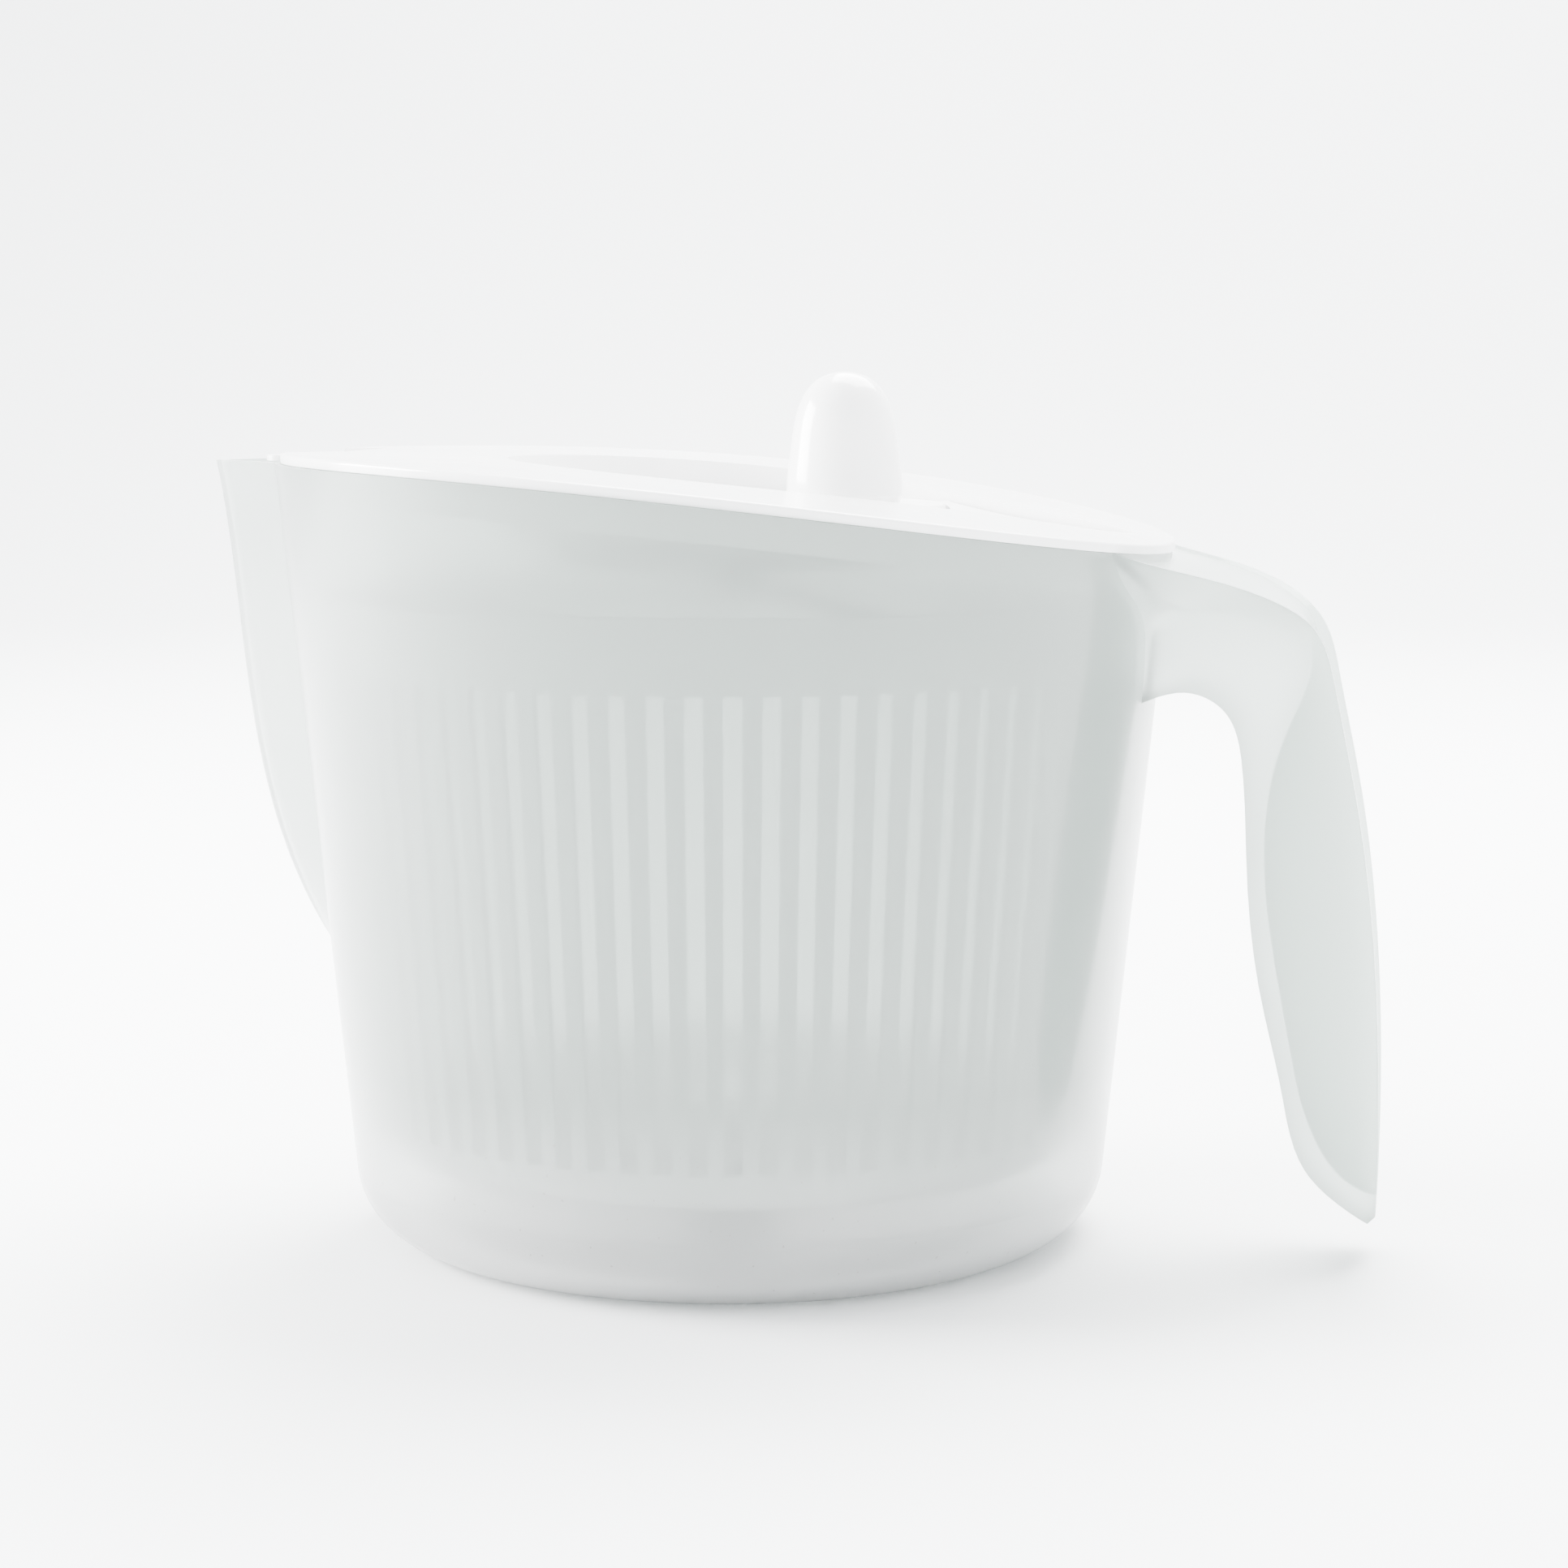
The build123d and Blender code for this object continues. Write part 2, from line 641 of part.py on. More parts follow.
with BuildPart() as sun_gear:
    with BuildSketch(Plane.XY.offset(GEAR_BOTTOM)):
        add(gear_face(SUN_TEETH, 0, GEAR_MODULE, GEAR_ROOT, GEAR_BACKLASH))
        Circle(SHAFT_R, mode=Mode.SUBTRACT)
    extrude(amount=GEAR_TOP - GEAR_BOTTOM)
save(sun_gear, "sun_gear")

for index in range(IDLER_COUNT):
    centre_angle = 2 * pi * index / IDLER_COUNT
    idler_phase = centre_angle + pi + pi / IDLER_TEETH
    with BuildPart() as idler_gear:
        with BuildSketch(Plane(origin=(*polar(IDLER_R, centre_angle), GEAR_BOTTOM))):
            add(gear_face(IDLER_TEETH, idler_phase, GEAR_MODULE, GEAR_ROOT, GEAR_BACKLASH))
            Circle(IDLER_PIN_R + GEAR_RUN, mode=Mode.SUBTRACT)
        extrude(amount=GEAR_TOP - GEAR_BOTTOM)
    save(idler_gear, f"idler_gear_{index + 1}")

with BuildPart() as idler_pins:
    with BuildSketch(Plane.XY.offset(HOUSING_BOTTOM + PIN_SET)):
        with PolarLocations(IDLER_R, IDLER_COUNT):
            Circle(IDLER_PIN_R)
    extrude(amount=GEAR_TOP + PIN_PROUD - HOUSING_BOTTOM - PIN_SET)
save(idler_pins, "idler_pins")


# ---- Gear housing ----

with BuildPart() as gear_housing:
    add(tube(HOUSING_CUP_R, BUSH_R, HOUSING_BOTTOM, HOUSING_FLOOR_TOP))
    add(tube(HOUSING_CUP_R, HOUSING_CUP_R - HOUSING_WALL, HOUSING_BOTTOM, HOUSING_TOP))
    add(tube(HOUSING_R, HOUSING_CUP_R - HOUSING_WALL, HOUSING_TOP - HOUSING_FLANGE_T, HOUSING_TOP))
    with BuildSketch(Plane.XY.offset(HOUSING_FLOOR_TOP)):
        with PolarLocations(IDLER_R, IDLER_COUNT):
            Circle(IDLER_BOSS_R)
    extrude(amount=GEAR_BOTTOM - HOUSING_FLOOR_TOP - WASHER_PLAY)
    with BuildSketch(Plane.XY.offset(HOUSING_BOTTOM + PIN_SET)):
        with PolarLocations(IDLER_R, IDLER_COUNT):
            Circle(IDLER_PIN_R)
    extrude(amount=GEAR_BOTTOM - HOUSING_BOTTOM, mode=Mode.SUBTRACT)
    with BuildSketch(Plane.XY.offset(HOUSING_TOP - HOUSING_FLANGE_T)):
        with PolarLocations(HOUSING_SCREW_PITCH_R, HOUSING_SCREWS):
            Circle(SCREW_R)
    extrude(amount=HOUSING_FLANGE_T, mode=Mode.SUBTRACT)
save(gear_housing, "gear_housing")

with BuildPart() as housing_screws:
    with BuildSketch(Plane.XY.offset(HOUSING_TOP - HOUSING_FLANGE_T - SCREW_HEAD_T)):
        with PolarLocations(HOUSING_SCREW_PITCH_R, HOUSING_SCREWS):
            Circle(SCREW_HEAD_R)
    extrude(amount=SCREW_HEAD_T)
    with BuildSketch(Plane.XY.offset(HOUSING_TOP - HOUSING_FLANGE_T)):
        with PolarLocations(HOUSING_SCREW_PITCH_R, HOUSING_SCREWS):
            Circle(SCREW_R)
    extrude(amount=HOUSING_FLANGE_T + SCREW_BITE)
    with BuildSketch(Plane.XY.offset(HOUSING_TOP - HOUSING_FLANGE_T - SCREW_HEAD_T)):
        with PolarLocations(HOUSING_SCREW_PITCH_R, HOUSING_SCREWS):
            RegularPolygon(SCREW_R, 6)
    extrude(amount=SCREW_HEAD_T / 2, mode=Mode.SUBTRACT)
save(housing_screws, "housing_screws")

with BuildPart() as shaft_bush:
    add(tube(BUSH_R, SHAFT_R + GEAR_RUN, BUSH_BOTTOM, BUSH_TOP))
    add(tube(BUSH_FLANGE_R, SHAFT_R + GEAR_RUN, BUSH_BOTTOM, HOUSING_BOTTOM))
save(shaft_bush, "shaft_bush")


# ---- Drive to the basket ----

with BuildPart() as drive_shaft:
    with BuildSketch(Plane.XY.offset(SHAFT_BOTTOM)):
        Circle(SHAFT_R)
    extrude(amount=SHAFT_TOP - SHAFT_BOTTOM)
    chamfer(drive_shaft.edges().group_by(Axis.Z)[-1], length=SHAFT_CHAMFER)
    with BuildSketch(Plane.XY.offset(SHAFT_BOTTOM)):
        Circle(PLATE_SCREW_R)
    extrude(amount=PLATE_SCREW_LENGTH, mode=Mode.SUBTRACT)
save(drive_shaft, "drive_shaft")

with BuildPart() as drive_plate:
    with BuildSketch(Plane.XY.offset(PLATE_BOTTOM)):
        Circle(PLATE_HUB_R)
    extrude(amount=PLATE_TOP - PLATE_BOTTOM)
    with BuildSketch(Plane.XY.offset(PLATE_BOTTOM)):
        with PolarLocations(ARM_REACH / 2, ARM_COUNT, start_angle=ARM_TURN):
            Rectangle(ARM_REACH, ARM_W)
    extrude(amount=ARM_T)
    with BuildSketch(Plane.XY.offset(FINGER_BOTTOM)):
        with PolarLocations(ARM_REACH - FINGER_T / 2, ARM_COUNT, start_angle=ARM_TURN):
            Rectangle(FINGER_T, ARM_W)
            Rectangle(FINGER_T, TAB_W + 2 * TAB_GAP, mode=Mode.SUBTRACT)
    extrude(amount=PLATE_BOTTOM - FINGER_BOTTOM)
    with BuildSketch(Plane.XY.offset(PLATE_BOTTOM)):
        Circle(SHAFT_R)
    extrude(amount=PLATE_TOP - PLATE_BOTTOM, mode=Mode.SUBTRACT)
save(drive_plate, "drive_plate")

with BuildPart() as plate_screw:
    with BuildSketch(Plane.XY.offset(PLATE_BOTTOM - SCREW_HEAD_T)):
        Circle(PLATE_SCREW_HEAD_R)
        RegularPolygon(PLATE_SCREW_R, 6, mode=Mode.SUBTRACT)
    extrude(amount=SCREW_HEAD_T)
    with BuildSketch(Plane.XY.offset(PLATE_BOTTOM - PLATE_SCREW_WEB)):
        Circle(PLATE_SCREW_R)
    extrude(amount=PLATE_SCREW_LENGTH + PLATE_SCREW_WEB)
save(plate_screw, "plate_screw")

with BuildPart() as thrust_washer:
    add(tube(THRUST_WASHER_R, SHAFT_R, PLATE_TOP, BUSH_BOTTOM - WASHER_PLAY))
save(thrust_washer, "thrust_washer")


# ---- Basket ----

def basket_section(inset, bottom, top):
    """Half of the basket's round section, inset from its outer face."""
    with BuildSketch(Plane.XZ) as section:
        with BuildLine():
            Polyline(
                (0, bottom),
                (basket_r(bottom) - inset, bottom),
                (basket_r(top) - inset, top),
                (0, top),
                close=True,
            )
        make_face()
        foot = section.vertices().group_by(Axis.Y)[0].sort_by(Axis.X)[-1:]
        fillet(foot, radius=BASKET_CORNER_R - inset)
    return section.sketch


with BuildPart() as basket:
    add(basket_section(0, BASKET_BOTTOM, BASKET_TOP))
    revolve(axis=Axis.Z)
    with BuildSketch(Plane.XY.offset(BASKET_TOP - BASKET_RIM_T)):
        Circle(BASKET_RIM_R)
    extrude(amount=BASKET_RIM_T)
    add(basket_section(BASKET_WALL, BASKET_BOTTOM + BASKET_FLOOR_T, BASKET_TOP))
    revolve(axis=Axis.Z, mode=Mode.SUBTRACT)
    with BuildSketch(Plane.XY.offset(SLOT_BOTTOM)):
        with PolarLocations(BASKET_RIM_R - SLOT_CUT / 2, SLOT_COUNT, start_angle=180 / SLOT_COUNT):
            Rectangle(SLOT_CUT, SLOT_W)
    extrude(amount=SLOT_TOP - SLOT_BOTTOM, mode=Mode.SUBTRACT)
    with BuildSketch(Plane.XY.offset(BASKET_BOTTOM)):
        with PolarLocations((FLOOR_SLOT_IN + FLOOR_SLOT_OUT) / 2, FLOOR_SLOTS):
            SlotOverall(FLOOR_SLOT_OUT - FLOOR_SLOT_IN, FLOOR_SLOT_W)
    extrude(amount=BASKET_FLOOR_T, mode=Mode.SUBTRACT)
    with BuildSketch(Plane.XY.offset(BASKET_BOSS_BOTTOM)):
        Circle(BASKET_BOSS_R)
    extrude(amount=AXLE_TOP + BASKET_BOSS_CAP - BASKET_BOSS_BOTTOM)
    with BuildSketch(Plane.XY.offset(BASKET_BOSS_BOTTOM)):
        Circle(AXLE_R)
    extrude(amount=AXLE_TOP - BASKET_BOSS_BOTTOM, mode=Mode.SUBTRACT)
    tab_middle_r = basket_r(TAB_BOTTOM) - TAB_SET - TAB_DEPTH / 2
    with BuildSketch(Plane.XY.offset(TAB_BOTTOM)):
        with PolarLocations(tab_middle_r, ARM_COUNT, start_angle=ARM_TURN):
            Rectangle(TAB_DEPTH, TAB_W)
    extrude(amount=TAB_TOP - TAB_BOTTOM)
save(basket, "basket")

with BuildPart() as basket_axle:
    with BuildSketch(Plane.XY.offset(AXLE_BOTTOM)):
        Circle(AXLE_R)
    extrude(amount=AXLE_TOP - AXLE_BOTTOM)
    chamfer(basket_axle.edges().group_by(Axis.Z)[0], length=SHAFT_CHAMFER)
save(basket_axle, "basket_axle")

with BuildPart() as axle_clip:
    with BuildSketch(Plane.XY.offset(CLIP_BOTTOM)):
        Circle(CLIP_R)
        Circle(AXLE_R, mode=Mode.SUBTRACT)
        with Locations((CLIP_R, 0)):
            Rectangle(2 * CLIP_R, AXLE_R, mode=Mode.SUBTRACT)
    extrude(amount=CLIP_T)
save(axle_clip, "axle_clip")


# ---- Pivot ----

with BuildPart() as pivot_bush:
    with BuildSketch(Plane.XY.offset(PIVOT_BOTTOM)):
        RegularPolygon(PIVOT_HEX_R, 6)
    extrude(amount=SOCKET_TOP - PIVOT_BOTTOM)
    with BuildSketch(Plane.XY.offset(SOCKET_TOP)):
        Circle(PIVOT_COLLAR_R)
    extrude(amount=PIVOT_TOP - SOCKET_TOP)
    with BuildSketch(Plane.XY.offset(PIVOT_BOTTOM)):
        Circle(PIVOT_BORE_R)
    extrude(amount=PIVOT_TOP - PIVOT_BOTTOM, mode=Mode.SUBTRACT)
    with BuildSketch(Plane.XY.offset(PIVOT_BOTTOM)):
        Circle(CLIP_POCKET_R)
    extrude(amount=CLIP_POCKET_TOP - PIVOT_BOTTOM, mode=Mode.SUBTRACT)
save(pivot_bush, "pivot_bush")

with BuildPart() as pivot_washer:
    add(tube(PIVOT_WASHER_R, AXLE_R + PIVOT_PLAY, PIVOT_TOP, BASKET_BOSS_BOTTOM - PIVOT_PLAY))
save(pivot_washer, "pivot_washer")
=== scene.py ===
from math import cos, radians, sin
from typing import NamedTuple

import bmesh
import bpy
from bpy.props import FloatProperty, FloatVectorProperty, PointerProperty
from mathutils import Euler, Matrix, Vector

bl_info = {
    "name": "Salad Spinner",
    "version": (1, 0, 0),
    "blender": (4, 5, 0),
    "location": "View3D > Sidebar > Salad Spinner",
    "description": "Finishes a hand-cranked salad spinner and sets it on a studio floor",
    "category": "Object",
}

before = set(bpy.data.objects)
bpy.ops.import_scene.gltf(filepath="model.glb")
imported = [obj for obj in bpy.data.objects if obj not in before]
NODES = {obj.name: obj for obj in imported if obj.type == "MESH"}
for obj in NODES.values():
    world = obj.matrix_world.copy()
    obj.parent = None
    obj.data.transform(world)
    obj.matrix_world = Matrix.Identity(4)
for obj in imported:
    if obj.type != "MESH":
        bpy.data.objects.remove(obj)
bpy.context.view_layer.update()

# Where the jug's finish changes, in metres: its colour carries painted light, full up to one height
# and gone above the other, to brighten its lower part; its handle starts at one distance from the
# axis and is rough past the other.
PAINTED_LIGHT_FULL_HEIGHT, PAINTED_LIGHT_END_HEIGHT = 0.02, 0.062
HANDLE_START, HANDLE_ROUGH = 0.108, 0.122

# The part of a noise's output that most of a surface falls in
NOISE_LOW, NOISE_HIGH = 0.3, 0.7

# Dust shows at the peaks of its noise and scuffs at those of theirs: where each starts and is full
DUST_START, DUST_FULL = 0.83, 0.86
SCUFF_START, SCUFF_FULL = 0.62, 0.72
DUST_COLOUR = (0.62, 0.61, 0.59)

# How far the cloud moves the edge of the painted light on the jug's foot, and the power that pales
# its colour there
PAINTED_LIGHT_WAVE = 0.02
PAINTED_LIGHT_POWER = 0.1

# Steps round the floor's curve and round the whole floor, and the gap that closes its seam
CURVE_STEPS = 16
ROUND_STEPS = 96
SEAM_GAP = 1e-5

FLOOR_DARK, FLOOR_PALE = (0.87, 0.88, 0.88), (0.89, 0.90, 0.90)
SURROUND_COLOUR = (0.95, 0.97, 1.0, 1.0)
SURROUND_STRENGTH = 3.0

SENSOR_WIDTH = 36.0
CAMERA_REACH = 50.0


class Lamp(NamedTuple):
    """A square soft lamp: metres, and watts for its power."""

    name: str
    place: tuple
    aim: tuple
    size: float
    power: float


LAMPS = (
    Lamp("overhead_lamp", place=(0.2, 0.8, 1.6), aim=(0.0, 0.0, 0.1), size=1.5, power=250.0),
    Lamp("left_lamp", place=(-1.6, -0.1, 0.6), aim=(0.0, 0.0, 0.1), size=0.9, power=190.0),
    Lamp("backdrop_lamp", place=(0.0, 1.9, 2.2), aim=(0.0, 3.6, 0.7), size=1.5, power=160.0),
)


# ---- Shader wiring ----

class Value:
    """A shader socket that takes part in sums, so that 1 - mask adds its own Math node."""

    def __init__(self, wiring, socket):
        self.wiring = wiring
        self.socket = socket

    def _sum(self, operation, first, second):
        return self.wiring.add("ShaderNodeMath", {"operation": operation}, {0: first, 1: second})

    def __add__(self, other):
        return self._sum("ADD", self, other)

    def __radd__(self, other):
        return self._sum("ADD", other, self)

    def __sub__(self, other):
        return self._sum("SUBTRACT", self, other)

    def __rsub__(self, other):
        return self._sum("SUBTRACT", other, self)

    def __mul__(self, other):
        return self._sum("MULTIPLY", self, other)

    def __rmul__(self, other):
        return self._sum("MULTIPLY", other, self)


class Wiring:
    """The nodes of one material, around its Principled shader."""

    def __init__(self, name):
        self.material = bpy.data.materials.new(name)
        self.material.use_nodes = True
        self.tree = self.material.node_tree
        self.shader = self.tree.nodes["Principled BSDF"]
        self.place = self.add("ShaderNodeTexCoord", {}, {}, "Object")

    def add(self, kind, settings, inputs, output=0):
        """A node of a kind, its settings made first, then its sockets given values or links."""
        node = self.tree.nodes.new(kind)
        for name, value in settings.items():
            setattr(node, name, value)
        for name, value in inputs.items():
            self.feed(node.inputs[name], value)
        return Value(self, node.outputs[output])

    def feed(self, socket, value):
        """Link a socket to a value of the tree, or set it to a plain number or colour."""
        if isinstance(value, Value):
            self.tree.links.new(value.socket, socket)
        else:
            socket.default_value = value

    def finish(self, **inputs):
        """Set the shader's own sockets and return the material."""
        for name, value in inputs.items():
            self.feed(self.shader.inputs[name.replace("_", " ")], value)
        return self.material

    def along(self, axis):
        """Distance along one of the object's own axes."""
        return self.add("ShaderNodeSeparateXYZ", {}, {"Vector": self.place}, axis)

    def noise(self, scale, detail, roughness=0.5, where=None):
        """Cloudy grain: scale is cells per metre."""
        inputs = {
            "Vector": where or self.place, "Scale": scale, "Detail": detail, "Roughness": roughness,
        }
        return self.add("ShaderNodeTexNoise", {}, inputs, "Fac")

    def stretched(self, scale):
        """Object coordinates stretched along the axes."""
        return self.add("ShaderNodeMapping", {}, {"Vector": self.place, "Scale": scale}, "Vector")

    def range(self, value, low, high, out_low, out_high):
        """A value carried from one range to another and held inside it."""
        inputs = {
            "Value": value, "From Min": low, "From Max": high,
            "To Min": out_low, "To Max": out_high,
        }
        return self.add("ShaderNodeMapRange", {"clamp": True}, inputs, "Result")

    def mask(self, value, zero_at, one_at):
        """0 where the value is at one end and 1 at the other."""
        return self.range(value, zero_at, one_at, 0.0, 1.0)

    def vary(self, noise, low, high):
        """A value that wanders between two ends with a noise."""
        return self.range(noise, NOISE_LOW, NOISE_HIGH, low, high)

    def blend(self, mask, first, second):
        """One colour where the mask is 0 and another where it is 1."""
        inputs = {0: mask, 6: self.opaque(first), 7: self.opaque(second)}
        return self.add("ShaderNodeMix", {"data_type": "RGBA"}, inputs, 2)

    def mottle(self, cloud, colour, darkest):
        """A colour that darkens a little where the cloud is thin."""
        return self.blend(cloud, tuple(channel * darkest for channel in colour), tuple(colour))

    @staticmethod
    def opaque(colour):
        """A plain colour with its alpha, or a linked colour as it is."""
        return colour if isinstance(colour, Value) else (*colour, 1.0)

    def bump(self, height, strength, distance):
        """Fine relief of the surface."""
        inputs = {"Height": height, "Strength": strength, "Distance": distance}
        return self.add("ShaderNodeBump", {}, inputs, "Normal")


# ---- Sizes and colours that a user would change ----

class SpinnerColours(bpy.types.PropertyGroup):
    """Colours of the plastics and the steel."""

    jug: FloatVectorProperty(
        name="Jug", description="Frosted plastic of the jug", default=(0.58, 0.63, 0.605),
        subtype="COLOR",
    )
    lid: FloatVectorProperty(
        name="Lid", description="Opaque plastic of the lid, disc and knob",
        default=(0.95, 0.95, 0.945), subtype="COLOR",
    )
    basket: FloatVectorProperty(
        name="Basket", description="Translucent plastic of the basket", default=(0.80, 0.82, 0.81),
        subtype="COLOR",
    )
    inner: FloatVectorProperty(
        name="Housing", description="Plastic of the gear housing and drive plate",
        default=(0.74, 0.75, 0.75), subtype="COLOR",
    )
    gear: FloatVectorProperty(
        name="Gears", description="Natural acetal of the gears", default=(0.85, 0.83, 0.77),
        subtype="COLOR",
    )
    bush: FloatVectorProperty(
        name="Bushes", description="Grey nylon of bushes and washers", default=(0.5, 0.52, 0.54),
        subtype="COLOR",
    )
    steel: FloatVectorProperty(
        name="Steel", description="Bright stainless steel", default=(0.66, 0.67, 0.68),
        subtype="COLOR",
    )


class SpinnerStage(bpy.types.PropertyGroup):
    """Floor and camera."""

    floor_radius: FloatProperty(
        name="Floor Radius", description="Flat part of the floor", default=2.2, min=1.0,
        unit="LENGTH",
    )
    sweep_radius: FloatProperty(
        name="Sweep Radius", description="Curve that joins the floor to the backdrop",
        default=1.4, unit="LENGTH",
    )
    sweep_height: FloatProperty(
        name="Backdrop Height", description="Height of the backdrop above the floor",
        default=2.4, unit="LENGTH",
    )
    camera_distance: FloatProperty(
        name="Camera Distance", description="From the jug's axis to the camera", default=0.8706,
        unit="LENGTH",
    )
    camera_height: FloatProperty(
        name="Camera Height", description="Above the floor", default=0.2245, unit="LENGTH"
    )
    camera_turn: FloatProperty(
        name="Camera Turn", description="Around the jug, from its side to its handle",
        default=radians(12.16), subtype="ANGLE",
    )
    camera_dip: FloatProperty(
        name="Camera Dip", description="Downward tilt of the camera", default=radians(7.04),
        subtype="ANGLE",
    )
    camera_aim: FloatProperty(
        name="Camera Aim", description="Sideways turn of the camera off the axis",
        default=radians(0.93), subtype="ANGLE",
    )
    lens: FloatProperty(
        name="Lens", description="Focal length in millimetres on a 36 mm frame", default=76.85,
        min=20.0,
    )


# ---- Finishes ----

def frosted_plastic(colour):
    """Thin frosted moulding that blurs what is behind it, with a glossy outside."""
    wiring = Wiring("frosted_plastic")
    cloud = wiring.noise(scale=18.0, detail=2.0)
    grain = wiring.noise(scale=2600.0, detail=2.0)
    dust = wiring.mask(wiring.noise(scale=900.0, detail=0.0), DUST_START, DUST_FULL)
    # Painted light: the colour is paled towards the jug's bottom, not on the handle, to brighten
    # its lower part
    wavy_height = wiring.along("Z") + PAINTED_LIGHT_WAVE * cloud
    painted_light_mask = wiring.mask(wavy_height, PAINTED_LIGHT_END_HEIGHT, PAINTED_LIGHT_FULL_HEIGHT)
    handle = wiring.mask(wiring.along("X"), HANDLE_START, HANDLE_ROUGH)
    painted_light_colour = tuple(channel ** PAINTED_LIGHT_POWER for channel in colour)
    painted_light_tint = wiring.blend(painted_light_mask * (1 - handle), tuple(colour), painted_light_colour)
    return wiring.finish(
        Base_Color=wiring.blend(dust, painted_light_tint, DUST_COLOUR),
        Roughness=wiring.vary(cloud, 0.28, 0.295) + 0.45 * handle,
        Transmission_Weight=0.84,
        Coat_Weight=0.5,
        Coat_Roughness=0.06,
        IOR=1.3,
        Normal=wiring.bump(grain, strength=0.08, distance=0.0001),
    )


def gloss_white(colour):
    """Opaque gloss moulding with a faint orange peel and hairline scuffs."""
    wiring = Wiring("gloss_white")
    peel = wiring.noise(scale=320.0, detail=1.0)
    cloud = wiring.noise(scale=14.0, detail=2.0)
    along_x = wiring.stretched((40.0, 1600.0, 1600.0))
    hairline = wiring.noise(scale=1.0, detail=3.0, roughness=0.6, where=along_x)
    scuff = wiring.mask(hairline, SCUFF_START, SCUFF_FULL)
    return wiring.finish(
        Base_Color=wiring.mottle(cloud, colour, darkest=0.975),
        Roughness=wiring.vary(cloud, 0.16, 0.24) + 0.12 * scuff,
        Coat_Weight=0.4,
        Coat_Roughness=0.05,
        Subsurface_Weight=0.12,
        Subsurface_Radius=(0.004, 0.004, 0.004),
        IOR=1.49,
        Normal=wiring.bump(peel - 0.4 * scuff, strength=0.05, distance=0.0003),
    )


def basket_plastic(colour):
    """Translucent moulding with a soft mould grain."""
    wiring = Wiring("basket_plastic")
    cloud = wiring.noise(scale=30.0, detail=2.0)
    grain = wiring.noise(scale=1800.0, detail=2.0)
    return wiring.finish(
        Base_Color=wiring.mottle(cloud, colour, darkest=0.96),
        Roughness=wiring.vary(grain, 0.36, 0.5),
        Alpha=wiring.vary(cloud, 0.74, 0.80),
        IOR=1.49,
        Normal=wiring.bump(grain, strength=0.15, distance=0.0002),
    )


def matte_moulding(name, colour, grain_scale, roughness):
    """Fine spark-eroded texture on a plain plastic."""
    wiring = Wiring(name)
    grain = wiring.noise(scale=grain_scale, detail=3.0, roughness=0.6)
    cloud = wiring.noise(scale=25.0, detail=2.0)
    return wiring.finish(
        Base_Color=wiring.mottle(cloud, colour, darkest=0.94),
        Roughness=wiring.vary(grain, roughness - 0.07, roughness + 0.07),
        IOR=1.48,
        Normal=wiring.bump(grain, strength=0.25, distance=0.0002),
    )


def turned_steel(colour):
    """Bright steel with fine turning marks round the upright axis."""
    wiring = Wiring("turned_steel")
    round_z = wiring.stretched((300.0, 300.0, 9000.0))
    marks = wiring.noise(scale=1.0, detail=2.0, where=round_z)
    smudge = wiring.noise(scale=90.0, detail=2.0)
    return wiring.finish(
        Base_Color=wiring.mottle(smudge, colour, darkest=0.85),
        Metallic=1.0,
        Roughness=wiring.range(marks + 0.5 * smudge, 0.5, 1.0, 0.18, 0.34),
        Normal=wiring.bump(marks, strength=0.2, distance=0.0001),
    )


def dress(material, *names):
    """Give CAD nodes their finish."""
    for name in names:
        node = NODES[name]
        node.data.materials.clear()
        node.data.materials.append(material)
        for face in node.data.polygons:
            face.material_index = 0


# ---- Operators ----

class SPINNER_OT_jug(bpy.types.Operator):
    """Finish the frosted jug"""

    bl_idname = "spinner.jug"
    bl_label = "Jug"

    def execute(self, context):
        dress(frosted_plastic(context.scene.spinner_colours.jug), "jug")
        return {"FINISHED"}


class SPINNER_OT_lid(bpy.types.Operator):
    """Finish the lid, the crank disc and the knob"""

    bl_idname = "spinner.lid"
    bl_label = "Lid and Crank"

    def execute(self, context):
        white = gloss_white(context.scene.spinner_colours.lid)
        dress(white, "lid_cover", "crank_disc", "crank_knob")
        return {"FINISHED"}


class SPINNER_OT_basket(bpy.types.Operator):
    """Finish the slotted basket"""

    bl_idname = "spinner.basket"
    bl_label = "Basket"

    def execute(self, context):
        dress(basket_plastic(context.scene.spinner_colours.basket), "basket")
        return {"FINISHED"}


class SPINNER_OT_drive(bpy.types.Operator):
    """Finish the gear housing, the drive plate, the gears and the bushes"""

    bl_idname = "spinner.drive"
    bl_label = "Drive"

    def execute(self, context):
        colours = context.scene.spinner_colours
        housing = matte_moulding(
            "housing_plastic", colours.inner, grain_scale=1500.0, roughness=0.5
        )
        dress(housing, "gear_housing", "drive_plate")
        idlers = sorted(name for name in NODES if name.startswith("idler_gear"))
        acetal = matte_moulding("acetal", colours.gear, grain_scale=900.0, roughness=0.34)
        dress(acetal, "ring_gear", "sun_gear", *idlers)
        bushes = sorted(name for name in NODES if name.endswith(("_bush", "_washer", "glide_ring")))
        nylon = matte_moulding("nylon", colours.bush, grain_scale=1200.0, roughness=0.42)
        dress(nylon, *bushes)
        return {"FINISHED"}


class SPINNER_OT_steel(bpy.types.Operator):
    """Finish the screws, pins, shaft, axle and clip"""

    bl_idname = "spinner.steel"
    bl_label = "Steel Parts"

    def execute(self, context):
        steel = ("_screws", "_screw", "_pins", "_pin", "_shaft", "_axle", "_clip")
        names = sorted(name for name in NODES if name.endswith(steel))
        dress(turned_steel(context.scene.spinner_colours.steel), *names)
        return {"FINISHED"}


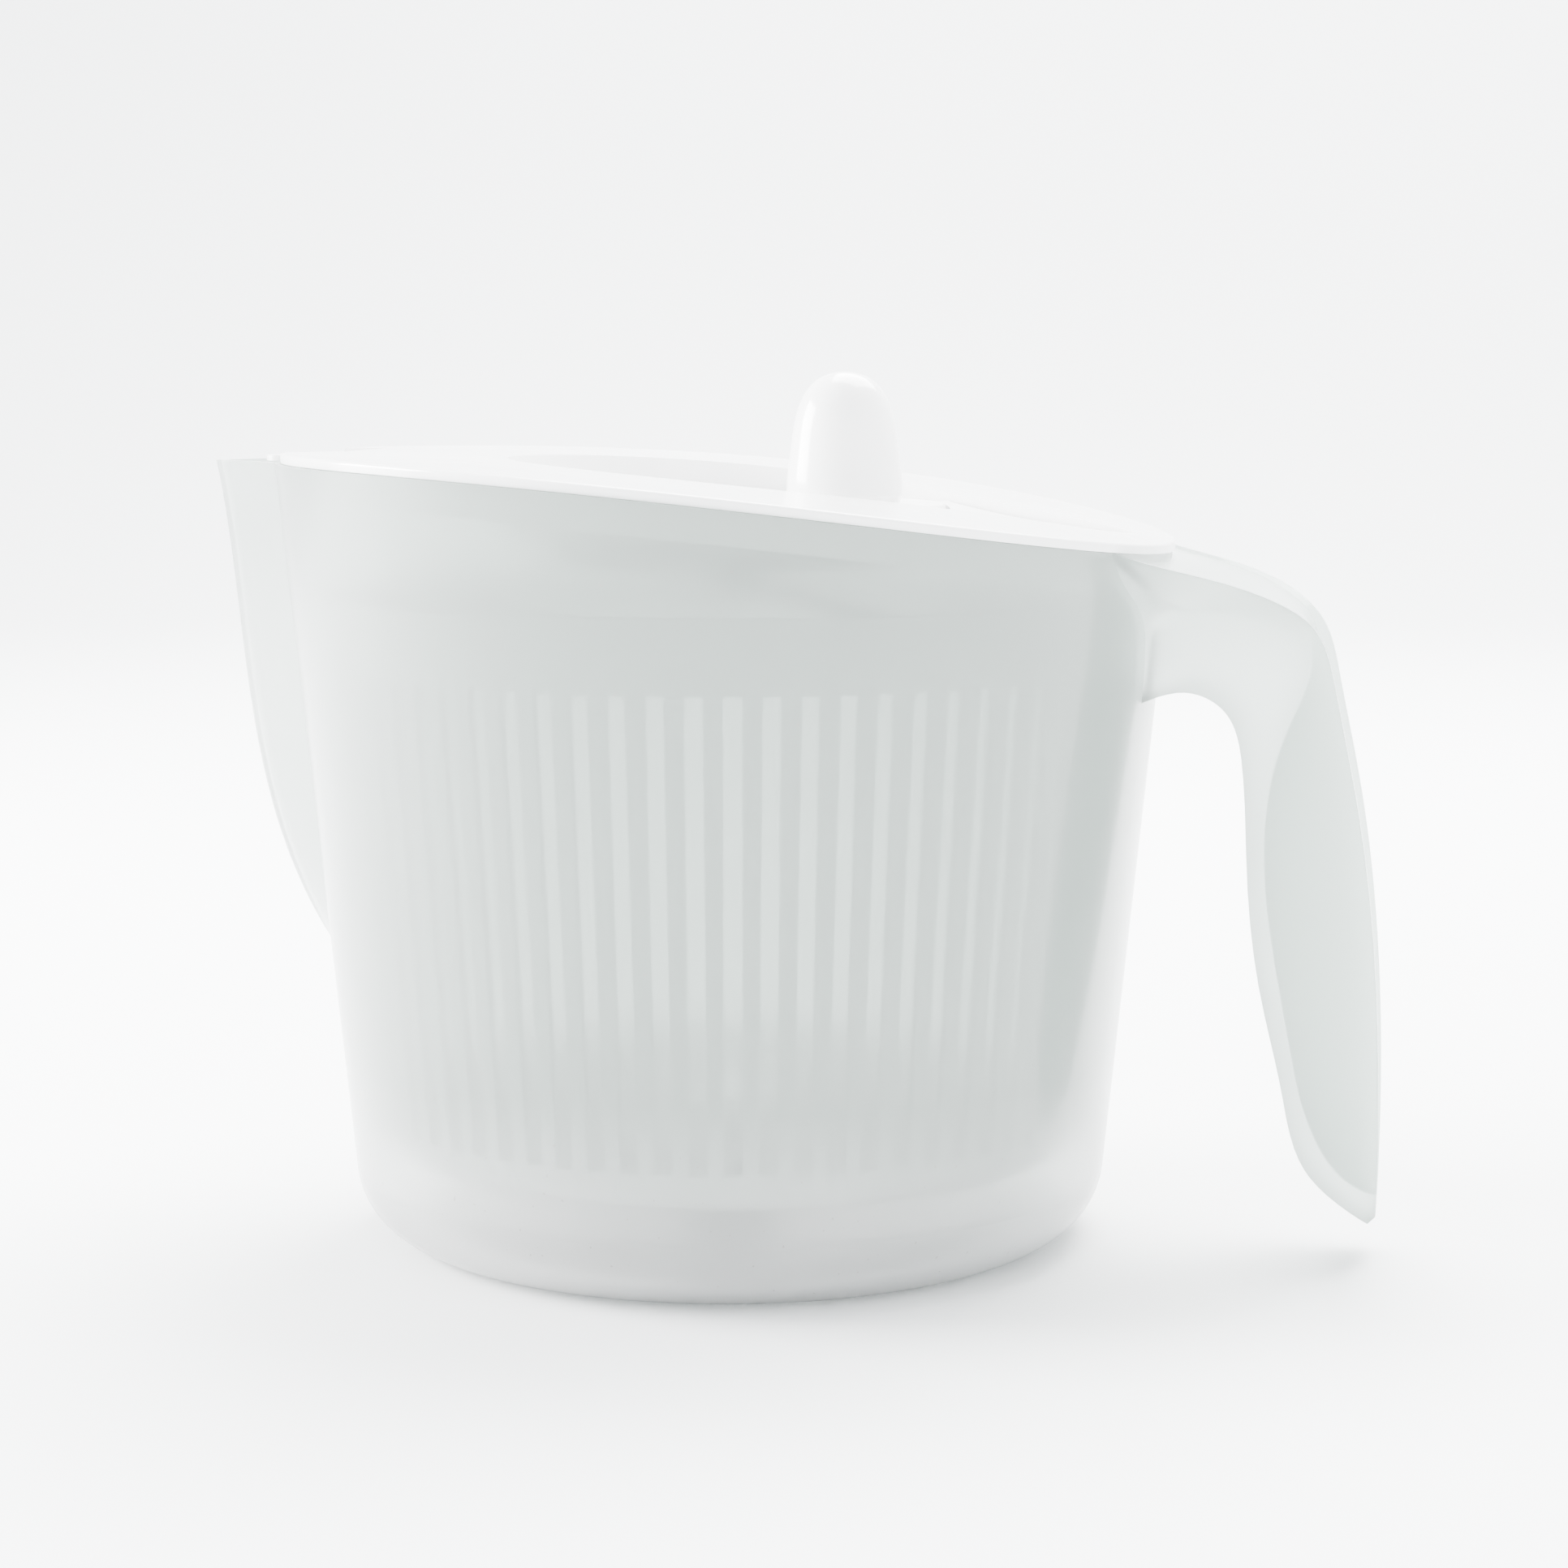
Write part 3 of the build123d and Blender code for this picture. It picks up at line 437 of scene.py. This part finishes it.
class SPINNER_OT_stage(bpy.types.Operator):
    """Build the floor with its round backdrop, the studio light and the camera"""

    bl_idname = "spinner.stage"
    bl_label = "Stage"

    def execute(self, context):
        stage = context.scene.spinner_stage
        self.floor(stage)
        self.light(context)
        self.camera(context, stage)
        return {"FINISHED"}

    def floor(self, stage):
        """A flat floor that curves up into a backdrop all the way round."""
        mesh = bmesh.new()
        middle = mesh.verts.new((0, 0, 0))
        edge = mesh.verts.new((stage.floor_radius, 0, 0))
        mesh.edges.new((middle, edge))
        centre = Vector((stage.floor_radius, 0, stage.sweep_radius))
        curve = bmesh.ops.spin(
            mesh, geom=[edge], cent=centre, axis=(0, -1, 0), angle=radians(90), steps=CURVE_STEPS,
            use_duplicate=False,
        )
        tip = next(item for item in curve["geom_last"] if isinstance(item, bmesh.types.BMVert))
        top = mesh.verts.new((tip.co.x, 0, stage.sweep_height))
        mesh.edges.new((tip, top))
        bmesh.ops.spin(
            mesh, geom=mesh.edges[:] + mesh.verts[:], cent=(0, 0, 0), axis=(0, 0, 1),
            angle=radians(360), steps=ROUND_STEPS, use_merge=True,
        )
        bmesh.ops.remove_doubles(mesh, verts=mesh.verts, dist=SEAM_GAP)
        bmesh.ops.recalc_face_normals(mesh, faces=mesh.faces)
        floor = new_piece("studio_floor", mesh)
        wiring = Wiring("studio_paper")
        tooth = wiring.noise(scale=700.0, detail=4.0, roughness=0.6)
        cloud = wiring.noise(scale=0.8, detail=2.0)
        floor.data.materials.append(wiring.finish(
            Base_Color=wiring.blend(cloud, FLOOR_DARK, FLOOR_PALE),
            Roughness=wiring.vary(tooth, 0.75, 0.9),
            Normal=wiring.bump(tooth, strength=0.05, distance=0.0002),
        ))

    def light(self, context):
        """Large soft lamps above, at the left and on the backdrop, with an even surround."""
        world = bpy.data.worlds.new("studio_air")
        world.use_nodes = True
        surround = world.node_tree.nodes["Background"].inputs
        surround["Color"].default_value = SURROUND_COLOUR
        surround["Strength"].default_value = SURROUND_STRENGTH
        context.scene.world = world
        for lamp in LAMPS:
            data = bpy.data.lights.new(lamp.name, "AREA")
            data.shape = "SQUARE"
            data.size = lamp.size
            data.energy = lamp.power
            light = bpy.data.objects.new(lamp.name, data)
            light.location = lamp.place
            heading = Vector(lamp.aim) - Vector(lamp.place)
            light.rotation_euler = heading.to_track_quat("-Z", "Y").to_euler()
            context.scene.collection.objects.link(light)

    def camera(self, context, stage):
        """A camera a little above the lid, turned a little towards the handle."""
        data = bpy.data.cameras.new("studio_camera")
        data.sensor_width = SENSOR_WIDTH
        data.lens = stage.lens
        data.clip_end = CAMERA_REACH
        camera = bpy.data.objects.new("studio_camera", data)
        turn = stage.camera_turn
        distance = stage.camera_distance
        camera.location = (distance * sin(turn), -distance * cos(turn), stage.camera_height)
        tilt = radians(90) - stage.camera_dip
        camera.rotation_euler = Euler((tilt, 0.0, turn - stage.camera_aim))
        context.scene.collection.objects.link(camera)
        context.scene.camera = camera


def new_piece(name, mesh):
    """Turn a bmesh into an object at the origin and link it."""
    data = bpy.data.meshes.new(name)
    mesh.to_mesh(data)
    mesh.free()
    for face in data.polygons:
        face.use_smooth = True
    piece = bpy.data.objects.new(name, data)
    bpy.context.scene.collection.objects.link(piece)
    return piece


# ---- Panel and registration ----

class SPINNER_PT_panel(bpy.types.Panel):
    """Salad spinner tools"""

    bl_idname = "SPINNER_PT_panel"
    bl_label = "Salad Spinner"
    bl_space_type = "VIEW_3D"
    bl_region_type = "UI"
    bl_category = "Salad Spinner"

    def draw(self, context):
        layout = self.layout
        for group in (context.scene.spinner_colours, context.scene.spinner_stage):
            box = layout.box()
            for name in group.__annotations__:
                box.prop(group, name)
        for operator in OPERATORS:
            layout.operator(operator.bl_idname)


OPERATORS = (
    SPINNER_OT_jug, SPINNER_OT_lid, SPINNER_OT_basket, SPINNER_OT_drive, SPINNER_OT_steel,
    SPINNER_OT_stage,
)
CLASSES = (SpinnerColours, SpinnerStage, *OPERATORS, SPINNER_PT_panel)


def register():
    """Register the add-on's classes and its settings on the scene."""
    for item in CLASSES:
        bpy.utils.register_class(item)
    bpy.types.Scene.spinner_colours = PointerProperty(type=SpinnerColours)
    bpy.types.Scene.spinner_stage = PointerProperty(type=SpinnerStage)


def unregister():
    """Take the add-on's classes and settings away again."""
    del bpy.types.Scene.spinner_stage
    del bpy.types.Scene.spinner_colours
    for item in reversed(CLASSES):
        bpy.utils.unregister_class(item)


def main():
    """Build everything in order."""
    register()
    bpy.ops.spinner.jug()
    bpy.ops.spinner.lid()
    bpy.ops.spinner.basket()
    bpy.ops.spinner.drive()
    bpy.ops.spinner.steel()
    bpy.ops.spinner.stage()
    bpy.context.view_layer.update()


if __name__ == "__main__":
    main()
